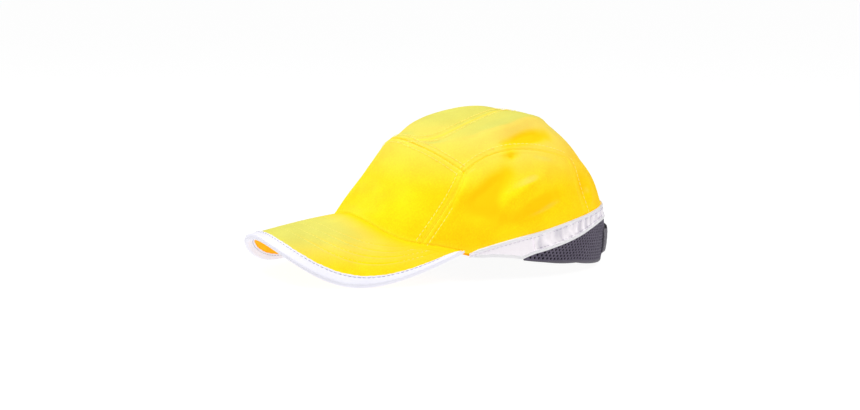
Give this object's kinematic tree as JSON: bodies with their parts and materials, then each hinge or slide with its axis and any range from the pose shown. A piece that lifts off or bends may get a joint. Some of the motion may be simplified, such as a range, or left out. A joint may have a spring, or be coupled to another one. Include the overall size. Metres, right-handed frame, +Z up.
{
  "type": "bump cap",
  "caption": "Peaked fabric bump cap with a curved visor, reflective tape, rear air mesh and hook-and-loop strap over a lift-out hard shell and foam liner.",
  "frame": {"origin": "middle of the cap's footprint on the table it stands on", "axes": "+Z up, the peak points to -Y, the wearer's left is +X"},
  "size_m": [0.186, 0.2822, 0.115],
  "materials": {
    "yellow_twill": "bright yellow cotton twill",
    "gold_twill": "golden yellow twill in shade under the peak",
    "seam_tape": "yellow seam tape",
    "reflective_tape": "silver grey retroreflective cloth",
    "white_piping": "white bound edge",
    "silver_binding": "silver white woven binding",
    "slate_mesh": "dark slate air mesh",
    "slate_binding": "dark slate woven binding",
    "slate_webbing": "slate webbing",
    "loop_pile": "slate loop pile",
    "hook_tape": "moulded hooks",
    "sweatband_cloth": "black towelling",
    "board_plastic": "flexible white board",
    "shell_abs": "off-white moulded shell",
    "eva_foam": "dark closed-cell foam, weighed as cloth",
    "pad_foam": "soft cloth-faced foam pads"
  },
  "bodies": {
    "liner": {"foam_liner": "eva_foam", "crown_pad": "pad_foam", "front_pad": "pad_foam", "rear_pad": "pad_foam", "side_pad_left": "pad_foam", "side_pad_right": "pad_foam"},
    "shell": {"hard_shell": "shell_abs"},
    "cover": {"front_panel": "yellow_twill", "top_panel_left": "yellow_twill", "top_panel_right": "yellow_twill", "side_panel_left": "yellow_twill", "side_panel_right": "yellow_twill", "front_seam_binding": "seam_tape", "centre_seam_binding": "seam_tape", "side_seam_binding_left": "seam_tape", "side_seam_binding_right": "seam_tape", "tape_left": "reflective_tape", "tape_right": "reflective_tape", "tape_back": "reflective_tape", "tape_top_piping": "white_piping", "tape_bottom_piping": "white_piping", "rear_mesh": "slate_mesh", "rear_hem": "slate_binding", "sweatband": "sweatband_cloth", "visor_board": "board_plastic", "visor_top_cloth": "yellow_twill", "visor_under_cloth": "gold_twill", "visor_edge_binding": "silver_binding", "loop_strap": "loop_pile"},
    "strap": {"hook_strap": "slate_webbing", "hook_patch": "hook_tape"}
  },
  "joints": [
    {"name": "shell_lift", "type": "slide", "parent": "liner", "child": "shell", "axis": [0, 0, 1], "range_m": [0, 0.09]},
    {"name": "cover_lift", "type": "slide", "parent": "shell", "child": "cover", "axis": [0, 0.12, 0.9928], "range_m": [0, 0.12]},
    {"name": "strap_peel", "type": "hinge", "parent": "cover", "child": "strap", "pos_m": [0.06322, 0.11449, 0.0179], "axis": [0.0472, -0.0979, -0.9941], "range_deg": [0, 100]}
  ]
}
